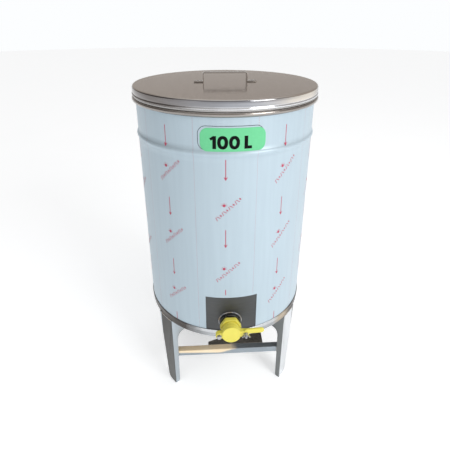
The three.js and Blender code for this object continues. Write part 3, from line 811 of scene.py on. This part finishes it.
def make_print():
    """Arrows, slanting marks and dotted lines, in ten columns round the film."""
    full = 2 * math.pi * DRUM_RADIUS
    bm = bmesh.new()
    for column in range(PRINT_COLUMNS):
        x = (math.radians(-3) + COLUMN_TURN * column) * DRUM_RADIUS
        first, drop = ((833.5, 107) if column % 2 else (766, 122))
        across = abs((x + full / 2) % full - full / 2)
        floor = PATCH_TOP + 1 * MM if across < 20 * MM else FILM_BOTTOM + 1 * MM
        for row in range(-1, 4):
            top = first * MM - row * PRINT_PERIOD
            if floor + 4 * MM < top < FILM_TOP - 2 * MM:
                print_arrow(bm, x, top, floor)
            low = top - drop * MM
            if floor + 40 * MM < low < FILM_TOP - 44 * MM:
                print_motif(bm, x + 6 * MM, low)
        between = x + COLUMN_TURN / 2 * DRUM_RADIUS
        for k in range(116):
            z = FILM_BOTTOM + 4 * MM + k * 5 * MM
            stroke(bm, (between, z), (between, z + 1.5 * MM), 0.8 * MM)
    hidden = []
    for face in bm.faces:
        spots = [((v.co.x + full / 2) % full - full / 2, v.co.y) for v in face.verts]
        if any(PATCH_LEFT - 2 * MM < x < PATCH_RIGHT + 2 * MM and z < PATCH_TOP for x, z in spots):
            hidden.append(face)
    bmesh.ops.delete(bm, geom=hidden, context="FACES")
    wrapped(bm, lambda z: DRUM_RADIUS + 0.36 * MM + swell(z))
    thick = modified(bm, "SOLIDIFY", thickness=0.04 * MM, offset=1.0)
    piece(thick, "film_print", print_ink)


LABEL_SIZE = Vector((145, 53)) * MM
LABEL_CORNER = 18 * MM
LABEL_CENTRE = Vector((4.1, 810.5)) * MM
LABEL_REACH = DRUM_RADIUS + 0.42 * MM


def label_loop(grow=0.0, shift=(0, 0)):
    x = LABEL_SIZE.x / 2 - LABEL_CORNER
    y = LABEL_SIZE.y / 2 - LABEL_CORNER
    centres = [(x, -y), (x, y), (-x, y), (-x, -y)]
    placed = [(a + LABEL_CENTRE.x + shift[0], b + LABEL_CENTRE.y + shift[1]) for a, b in centres]
    return capsule_loop(placed, LABEL_CORNER + grow, 14)


def make_label():
    body = sliced(plate([label_loop()], 0, 0.3 * MM, 0.08 * MM, 2))
    sticker = wrapped(body, LABEL_REACH)
    piece(sticker, "label_sticker", label_green, replaces=["capacity_label"])

    shift = (-4.5 * MM, 3.4 * MM)
    loops = [label_loop(grow, shift) for grow in (0.9 * MM, -0.1 * MM)]
    ring = wrapped(sliced(plate(loops, 0, 0.12 * MM, 0.02 * MM, 1)), LABEL_REACH - 0.03 * MM)
    piece(ring, "label_outline", label_ink)

    parts = []
    for loops in capacity_glyphs():
        placed = [[(a + LABEL_CENTRE.x, b + LABEL_CENTRE.y) for a, b in mm(loop)] for loop in loops]
        parts.append(plate(placed, 0, 0.08 * MM, 0.01 * MM, 1))
    letters = wrapped(sliced(merge(*parts), 2 * MM), LABEL_REACH + 0.3 * MM)
    piece(letters, "label_capacity", label_ink)


def capacity_glyphs():
    """The heavy round-shouldered figures of "100 L", each a list of loops about the label's centre."""
    left, low, tall = -3.3, -20.0, 29.0
    top = low + tall
    one = [
        (left - 41.5, low), (left - 33.5, low), (left - 33.5, top), (left - 40.0, top),
        (left - 48.0, top - 5.2), (left - 45.0, top - 10.4), (left - 41.5, top - 8.2),
    ]
    nought = []
    for middle in (left - 19.5, left + 6.0):
        loops = []
        for wide, high, power in ((11.8, tall / 2 + 0.5, 2.2), (4.2, tall / 2 - 6.6, 2.0)):
            loop = []
            for k in range(56):
                a = 2 * math.pi * k / 56
                c, d = math.cos(a), math.sin(a)
                x = middle + wide * math.copysign(abs(c) ** (2 / power), c)
                loop.append((x, low + tall / 2 + high * math.copysign(abs(d) ** (2 / power), d)))
            loops.append(loop)
        nought.append(loops)
    ell = [
        (left + 27.5, low), (left + 44.5, low), (left + 44.5, low + 6.8),
        (left + 35.5, low + 6.8), (left + 35.5, top), (left + 27.5, top),
    ]
    return [[one], *nought, [ell]]


# ---------------------------------------------------------------- lid

def make_lid():
    inside = LID_SKIRT - SHEET
    bend = 4.5 * MM
    middle = (LID_SKIRT - bend, LID_TOP - bend)
    shoulder = arc(middle, bend, 0, 90, 10)
    under = arc(middle, 3.5 * MM, 90, 0, 8)
    hem = arc((LID_HEM - 2.6 * MM, LID_BOTTOM + 2.6 * MM), 2.6 * MM, -90, 80, 10)
    profile = [
        (0, LID_TOP - SHEET), *under,
        (inside, LID_BOTTOM + 0.6 * MM), (inside + 0.6 * MM, LID_BOTTOM),
        *hem, (LID_SKIRT, LID_BOTTOM + 6.2 * MM),
        *shoulder, (LID_SKIRT - 6 * MM, LID_TOP), (0, LID_TOP),
    ]
    lid = revolve(profile, closed=False)
    piece(lid, "lid_pressing", lid_steel, "lid", ["lid_panel"], sharp=50)

    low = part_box("lid_locating_ring")[0].z
    ledge = RIM_TOP + GAP
    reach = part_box("lid_locating_ring")[1].x
    spigot = 226.8 * MM
    skirt_top = ledge + 16 * MM
    section = [
        (spigot - SHEET, low), (spigot, low), (spigot, ledge), (reach, ledge), (reach, skirt_top),
        (reach - SHEET, skirt_top), (reach - SHEET, ledge + SHEET), (spigot - SHEET, ledge + SHEET),
    ]
    ring = revolve(soften(section, 0.5 * MM, 3))
    piece(ring, "lid_ring", rim_steel, "lid", ["lid_locating_ring"])


def make_handle():
    low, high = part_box("lid_handle")
    depth = high.y - low.y
    foot_end = high.x
    strap = 2 * MM
    inner = 55 * MM
    outer = inner + strap
    tall = high.z - low.z
    bend = 4.5 * MM
    right = [
        (inner, 0), (foot_end, 0), (foot_end, strap),
        *arc((outer + 2.5 * MM, strap + 2.5 * MM), 2.5 * MM, 270, 180, 6),
        *arc((outer - bend, tall - bend), bend, 0, 90, 10),
    ]
    left = [(-x, y) for x, y in right[::-1]]
    inside = [
        *arc((-inner + bend - strap, tall - bend), bend - strap, 180, 90, 8),
        *arc((inner - bend + strap, tall - bend), bend - strap, 90, 0, 8),
    ]
    strip = plate([[*right, *left, *inside]], -depth / 2, depth / 2, 0.35 * MM)
    moved(strip, Matrix.Translation((0, 0, low.z)) @ ON_END)
    piece(strip, "handle_strap", handle_steel, "lid", ["lid_handle"])
    marks = []
    for side in (-1, 1):
        for y in (-7 * MM, 7 * MM):
            mark = mm([(1.7, 0), (2.6, 0), (2.2, 0.22)])
            ring = revolve(soften(mark, 0.1 * MM, 2), 32)
            middle = (outer + foot_end) / 2 + 1.5 * MM
            marks.append(moved(ring, Matrix.Translation((side * middle, y, low.z + strap))))
    piece(merge(*marks), "handle_spot_welds", weld_steel, "lid")


# ---------------------------------------------------------------- stand

def leg_matrix(degrees):
    return Matrix.Rotation(math.radians(degrees), 4, "Z")


def make_leg(place, degrees, hand):
    """A folded sheet leg: a tapering web with a round toe and a flange that ends in a gusset."""
    web = [
        (27, 0), (27, LEG_TOP / MM), (-34, LEG_TOP / MM),
        *curve((-34, LEG_TOP / MM), (-27, 120), (-11, 22))[1:],
        *curve((-11, 22), (-11, 0), (7, 0))[1:],
    ]
    loop = mm([(hand * x, z) for x, z in web])
    sheet = prism(loop, LEG_FACE - LEG_SHEET, LEG_FACE)
    moved(sheet, ON_END)
    gusset_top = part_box("leg_front_left")[1].z / MM
    flange = [
        (0, 0), (0, LEG_TOP / MM), (4.2, LEG_TOP / MM), (4.2, gusset_top), (30, gusset_top),
        (42, gusset_top - 12), *curve((42, 196), (17, 196), (17, 165)),
        *curve((15.5, 8), (15.5, 0), (7.5, 0)),
    ]
    side = prism(mm(flange), 0, LEG_SHEET)
    start = LEG_FOLD - LEG_SHEET if hand > 0 else -LEG_FOLD
    upright = Matrix(((0, 0, 1, start), (1, 0, 0, -LEG_FACE), (0, 1, 0, 0), (0, 0, 0, 1)))
    knife = as_object(moved(side, upright), "side")
    joined = modified(sheet, "BOOLEAN", operation="UNION", solver="EXACT", object=knife)
    bpy.data.objects.remove(knife)
    flat = math.radians(4)
    bmesh.ops.dissolve_limit(joined, angle_limit=flat, verts=joined.verts, edges=joined.edges)
    corner = []
    for edge in joined.edges:
        ends = [v.co for v in edge.verts]
        misses = [miss for c in ends for miss in (abs(c.x) - LEG_FOLD, c.y + LEG_FACE)]
        if max(map(abs, misses)) < 0.1 * MM and abs(ends[0].z - ends[1].z) > 10 * MM:
            corner.append(edge)
    bmesh.ops.bevel(joined, geom=corner, offset=2.8 * MM, segments=6, affect="EDGES", profile=0.5)
    limit = math.radians(40)
    rounded = modified(
        joined, "BEVEL", width=0.5 * MM, segments=3, limit_method="ANGLE", angle_limit=limit,
    )
    at = Matrix.Translation(AXIS) @ leg_matrix(degrees)
    node = f"leg_{place}"
    piece(rounded, f"{node}_sheet", leg_steel[place], replaces=[node], at=at)

    path = []
    for x, _, _ in line((-33 * MM, 0, 0), (26 * MM, 0, 0)):
        reach = max(LEG_FACE, math.sqrt(HOOP_RADIUS ** 2 - x ** 2)) + 0.1 * MM
        path.append((hand * x, -reach, LEG_TOP + 0.1 * MM))
    bead = swept(path, 1.3 * MM, ripple=0.35, seed=3)
    ledge = [
        (hand * (LEG_FOLD + 0.6 * MM), d - LEG_FACE, gusset_top * MM - 0.4 * MM)
        for _, d, _ in line((0, 6 * MM, 0), (0, 24 * MM, 0))
    ]
    beads = merge(bead, swept(ledge, 1.2 * MM, ripple=0.35, seed=5))
    piece(beads, f"{node}_weld", weld_steel, at=at)


def make_hoop():
    sheet = 2.5 * MM
    inside = 204 * MM
    section = [
        (HOOP_RADIUS - sheet, HOOP_BOTTOM), (HOOP_RADIUS, HOOP_BOTTOM), (HOOP_RADIUS, HOOP_TOP),
        (inside, HOOP_TOP), (inside, HOOP_TOP - sheet), (HOOP_RADIUS - sheet, HOOP_TOP - sheet),
    ]
    band = revolve(soften(section, 0.8 * MM, 4))
    piece(band, "hoop_band", hoop_steel, replaces=["stand_hoop"])


def make_bar(place, turn):
    """A square tube whose ends are mitred to the insides of the legs' webs."""
    half = BAR_SIDE / 2
    middle = Vector((BAR_CENTRE, BAR_TOP - half))
    lean = math.radians(LEG_ANGLES["front_right"])
    web = LEG_FACE - LEG_SHEET - GAP

    def end(y):
        return (web + y * math.cos(lean)) / math.sin(lean)

    def ring(reach, radius):
        inner = reach - radius
        corners = [(-inner, -inner), (inner, -inner), (inner, inner), (-inner, inner)]
        return [Vector(p) + middle for p in capsule_loop(corners, radius, 6)]

    bm = bmesh.new()
    rows = []
    for loop in (ring(half, 2.2 * MM), ring(half - 1.5 * MM, 0.9 * MM)):
        for side in (-1, 1):
            rows.append([bm.verts.new((side * end(y), y, z)) for y, z in loop])
    for low, high in ((0, 1), (2, 3), (0, 2), (1, 3)):
        bridge(bm, rows[low], rows[high])
    at = Matrix.Translation(AXIS) @ Matrix.Rotation(turn, 4, "Z")
    node = f"crossbar_{place}"
    piece(bm, f"{node}_tube", bar_steel[place], replaces=[node], at=at)

    beads = []
    front, back = middle.x - half + 1.5 * MM, middle.x + half - 1.5 * MM
    upper, lower = BAR_TOP - 1 * MM, BAR_TOP - BAR_SIDE + 1 * MM
    for side, hand in ((-1, 1), (1, -1)):
        ways = [y for _, y, _ in line((0, front, 0), (0, back, 0))]
        top = [(side * (end(y) - 0.4 * MM), y, BAR_TOP + 0.1 * MM) for y in ways]
        beads.append(swept(top, 1.1 * MM, ripple=0.35, seed=11))
        turned = leg_matrix(side * LEG_ANGLES["front_right"])
        edge = turned @ Vector((hand * (LEG_FOLD - 1.8 * MM), 17.2 * MM - LEG_FACE, 0))
        path = [(edge.x, edge.y, z) for _, _, z in line((0, 0, upper), (0, 0, lower))]
        beads.append(swept(path, 1.0 * MM, ripple=0.35, seed=12))
    piece(merge(*beads), f"{node}_weld", weld_steel, at=at)


def make_tie():
    low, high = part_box("tie_plate")
    end = (high.y - low.y) / 2
    shoulder = end - 12 * MM
    waist = -28 * MM
    loop = [
        (low.x, -end), (high.x, -end), (high.x, end), (low.x, end), (low.x, shoulder),
        (waist, shoulder - 12 * MM), (waist, 12 * MM - shoulder), (low.x, -shoulder),
    ]
    sheet = plate([soften(loop, 3 * MM, 4)], low.z, high.z, 0.4 * MM)
    piece(sheet, "tie_plate_sheet", stand_steel, replaces=["tie_plate"])


# ---------------------------------------------------------------- outlet and gate

GATE = Matrix.Translation(AXIS + OUTLET) @ ON_END
PIVOT = (-31.5 * MM, -4 * MM)
LOCK = (37 * MM, 0)
EAR = 9 * MM
BOLT_HOLE = 3.3 * MM
SOCKET_BORE = 20.3 * MM
PIPE_BORE = 18 * MM
FACE_RADIUS = 24.5 * MM


def moulding(bm, name, node, body=BODY):
    """A yellow piece of the gate."""
    piece(bm, name, yellow, body, [node], at=GATE)


def fastener(bm, name, node, bolt, body=BODY):
    """A steel piece on the pivot's or the lock's axis."""
    at = GATE @ Matrix.Translation((*bolt, 0))
    piece(bm, name, bolt_steel, body, [node], at=at)


def span(node):
    """How far a gate node starts and ends from the drum's axis."""
    low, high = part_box(node)
    return AXIS.y - high.y, AXIS.y - low.y


def make_outlet():
    start, end = span("outlet_socket")
    outside = 29 * MM
    tube = revolve(soften(box_section(SOCKET_BORE, outside, start, end), 1.0 * MM, 4), 128)
    piece(tube, "socket_tube", socket_steel, replaces=["outlet_socket"], at=GATE)

    reach = DRUM_RADIUS + 0.5 * MM
    seam = outside + 0.7 * MM
    path = []
    for k in range(320):
        a = 2 * math.pi * k / 320
        x = seam * math.cos(a)
        path.append((x, seam * math.sin(a), math.sqrt(reach ** 2 - x ** 2)))
    bead = swept(path, 1.4 * MM, closed=True, ripple=0.3, seed=2)
    piece(bead, "socket_weld", weld_steel, at=GATE)

    start, end = span("gate_gasket")
    ring = revolve(soften(box_section(SOCKET_BORE, 25 * MM, start, end), 0.5 * MM), 96)
    piece(ring, "gasket_ring", seal_black, replaces=["gate_gasket"], at=GATE)


def hexagon(flats, corner, steps=6):
    reach = (flats / 2 - corner) / math.cos(math.radians(30))
    turns = [math.radians(60 * k) for k in range(6)]
    return capsule_loop([(reach * math.cos(a), reach * math.sin(a)) for a in turns], corner, steps)


def make_lock_nut():
    start, end = span("gate_lock_nut")
    loops = [hexagon(50 * MM, 6 * MM, 8), circle((0, 0), SOCKET_BORE, 96)]
    moulding(plate(loops, start, end, 1.6 * MM, 5), "lock_nut_hex", "gate_lock_nut")


def make_gate_body():
    start, end = span("gate_body")
    face = end - 6 * MM
    neck = face - 10.9 * MM
    profile = soften([
        (PIPE_BORE, start), (20 * MM, start), (20 * MM, neck),
        (21.5 * MM, neck + 0.6 * MM), (20.2 * MM, neck + 4 * MM), (21.4 * MM, face - 2 * MM),
        (23.5 * MM, face + 1 * MM), (23.5 * MM, face + 3 * MM), (PIPE_BORE, face + 3 * MM),
    ], 0.6 * MM, 3)
    pipe = revolve(profile, 96)
    loops = [circle((0, 0), radius, 96) for radius in (FACE_RADIUS, PIPE_BORE)]
    parts = [pipe, plate(loops, face, end, 0.9 * MM)]
    for bolt in (PIVOT, LOCK):
        inner = (bolt[0] * 0.68, bolt[1] * 0.68)
        ear = [capsule_loop([inner, bolt], EAR, 20), circle(bolt, BOLT_HOLE, 32)]
        parts.append(plate(ear, face, end, 0.9 * MM))
    moulding(moulded(merge(*parts), 0.45 * MM), "gate_body_moulding", "gate_body")


def make_blade():
    start, end = span("gate_blade")
    ear_end = start + 6 * MM
    disc = plate([circle((0, 0), FACE_RADIUS, 128)], start, end, 1.3 * MM, 5)
    ear = [capsule_loop([(-20 * MM, -2 * MM), PIVOT], EAR, 20), circle(PIVOT, BOLT_HOLE, 32)]
    pivot_ear = plate(ear, start, ear_end, 1.0 * MM)
    half = 3.6 * MM
    drop = math.sqrt(EAR ** 2 - half ** 2)
    right = arc(LOCK, EAR, -math.degrees(math.acos(half / EAR)), 90, 20)
    turns = [math.radians(a) for a in range(0, 181, 12)]
    lug = [
        (20 * MM, -EAR * 0.9), (LOCK[0] - half - 1.2 * MM, -EAR * 0.9), (LOCK[0] - half, -drop),
        *[(LOCK[0] - half * math.cos(a), half * math.sin(a)) for a in turns],
        *right, (20 * MM, EAR),
    ]
    lock_ear = plate([lug], start, ear_end, 1.0 * MM)
    lever_ends = mm([(40, 8), (77, 10)])
    lever = plate([capsule_loop(lever_ends, 7 * MM, 20)], start, ear_end, 1.6 * MM, 4)
    blade = moulded(merge(disc, pivot_ear, lock_ear, lever), 0.4 * MM)
    slot = [capsule_loop([(LOCK[0], -2 * EAR), LOCK], 3.5 * MM, 20)]
    blade = cut(blade, plate(slot, start - EAR, end + EAR, 0.1 * MM))
    moulding(blade, "blade_moulding", "gate_blade", "gate_blade")


def threaded(low, high, radius=3 * MM, pitch=1.0 * MM):
    """A shank with a cut thread, drawn as close rings, and a chamfered tip."""
    rings = int((high - low - 1.2 * MM) / (pitch / 2))
    profile = [(0, low), (radius - 0.3 * MM, low)]
    for k in range(rings):
        profile.append((radius - (0.32 * MM if k % 2 else 0), low + 0.3 * MM + k * pitch / 2))
    profile += [(radius - 0.9 * MM, high), (0, high)]
    return revolve(profile, 40, closed=False)


def make_fasteners():
    for name, bolt in (("pivot", PIVOT), ("lock", LOCK)):
        section = box_section(BOLT_HOLE, 6.4 * MM, *span(f"{name}_washer"))
        ring = revolve(soften(section, 0.25 * MM), 64)
        fastener(ring, f"{name}_washer_ring", f"{name}_washer", bolt)

    flats = hexagon(10 * MM, 0.5 * MM, 3)
    start, end = span("pivot_bolt")
    head = end - 4 * MM
    parts = [plate([flats], head, end, 0.6 * MM), threaded(start, head + 1 * MM)]
    fastener(merge(*parts), "pivot_bolt_hex", "pivot_bolt", PIVOT)

    start, end = span("pivot_nut")
    nut = plate([flats, circle((0, 0), BOLT_HOLE, 32)], start, end, 0.5 * MM)
    fastener(nut, "pivot_nut_hex", "pivot_nut", PIVOT)

    start, end = span("lock_bolt")
    parts = [plate([flats], start, start + 4 * MM, 0.5 * MM), threaded(start + 3 * MM, end)]
    fastener(merge(*parts), "lock_bolt_stud", "lock_bolt", LOCK)


def make_wing_nut():
    start = span("wing_nut")[0]
    hub_top = start + 6 * MM
    hub = [(BOLT_HOLE, start), (5.5 * MM, start), (4.7 * MM, hub_top), (BOLT_HOLE, hub_top)]
    parts = [revolve(soften(hub, 0.5 * MM), 64)]
    outline = mm([
        (4.1, 0.8), (8.5, 2.2), (10.6, 5), (10.9, 8.6), (9.6, 9.9), (7.6, 9), (5.4, 5.4), (4.1, 4.8),
    ])
    for turn in (0, math.pi):
        wing = plate([soften(outline, 1.4 * MM, 5)], -1.25 * MM, 1.25 * MM, 0.7 * MM)
        turned = Matrix.Rotation(turn, 4, "Z") @ ON_END
        parts.append(moved(wing, Matrix.Translation((0, 0, start)) @ turned))
    nut = moulded(merge(*parts), 0.22 * MM, 4)
    fastener(nut, "wing_nut_casting", "wing_nut", LOCK, "wing_nut")


# ---------------------------------------------------------------- setting

def make_stage():
    bm = bmesh.new()
    bmesh.ops.create_circle(bm, cap_ends=True, radius=14, segments=96)
    floor = as_object(bm, "floor")
    floor.location.z = -0.5 * MM
    floor.data.materials.append(plain_material(
        "floor_paint", (0.93, 0.95, 0.965), (0.92, 0.94, 0.955), 0.9, 3,
        Emission_Color=(0.95, 0.975, 1.0), Emission_Strength=0.42,
    ))


def make_world():
    """White near the horizon, warm grey overhead and dimmer on the left."""
    world = bpy.data.worlds.new("studio")
    world.use_nodes = True
    tree = world.node_tree
    back = tree.nodes["Background"]
    coords = tree.nodes.new("ShaderNodeTexCoord")
    split = tree.nodes.new("ShaderNodeSeparateXYZ")
    ramp = tree.nodes.new("ShaderNodeValToRGB")
    tree.links.new(coords.outputs["Generated"], split.inputs[0])
    tree.links.new(split.outputs["Z"], ramp.inputs[0])
    left = tree.nodes.new("ShaderNodeMapRange")
    for socket, value in (("From Min", -0.50), ("From Max", -0.95), ("To Min", 1.0), ("To Max", 0.4)):
        left.inputs[socket].default_value = value
    tree.links.new(split.outputs["X"], left.inputs["Value"])
    tree.links.new(left.outputs[0], back.inputs["Strength"])
    tree.links.new(ramp.outputs[0], back.inputs[0])
    white, warm = (0.975, 0.99, 1.0), (0.42, 0.385, 0.358)
    stops = [(0.0, white), (0.045, white), (0.11, warm), (0.55, warm), (1.0, (0.9, 0.9, 0.9))]
    while len(ramp.color_ramp.elements) < len(stops):
        ramp.color_ramp.elements.new(0.5)
    for element, (position, colour) in zip(ramp.color_ramp.elements, stops):
        element.position = position
        element.color = (*colour, 1)
    bpy.context.scene.world = world


def area_light(name, place, aim, size, power, colour):
    data = bpy.data.lights.new(name, "AREA")
    data.shape = "RECTANGLE"
    data.size, data.size_y = size
    data.energy = power
    data.color = colour
    lamp = link(bpy.data.objects.new(name, data))
    lamp.location = place
    lamp.rotation_euler = (Vector(aim) - Vector(place)).to_track_quat("-Z", "Y").to_euler()


def make_lights():
    middle = (0, 0, 0.5)
    area_light("key_light", (1.9, -2.2, 1.9), middle, (1.4, 1.4), 49, (1.0, 0.99, 0.98))
    area_light("fill_light", (-2.2, -2.0, 1.5), middle, (1.6, 1.6), 3, (0.93, 0.97, 1.0))


def make_camera():
    """A camera 1.05 m up and 1 m from the drum's axis, a little to the left of its front."""
    away, height = 1006 * MM, 1052 * MM
    azimuth, pitch = math.radians(-3.4), math.radians(24.36)
    data = bpy.data.cameras.new("camera")
    data.sensor_width = 36
    data.lens = 30.33
    data.shift_y = -0.0836
    data.clip_start = 0.05
    camera = link(bpy.data.objects.new("camera", data))
    camera.location = AXIS + Vector((away * math.sin(azimuth), -away * math.cos(azimuth), height))
    camera.rotation_euler = (math.pi / 2 - pitch, 0, azimuth)
    bpy.context.scene.camera = camera
    bpy.context.scene.view_settings.view_transform = "Standard"


make_shell()
make_bottom()
make_film()
make_print()
make_label()
make_lid()
make_handle()
make_hoop()
for place, degrees in LEG_ANGLES.items():
    make_leg(place, degrees, LEG_HANDS[place])
make_bar("front", 0)
make_bar("rear", math.pi)
make_tie()
make_outlet()
make_lock_nut()
make_gate_body()
make_blade()
make_fasteners()
make_wing_nut()
make_stage()
make_world()
make_lights()
make_camera()
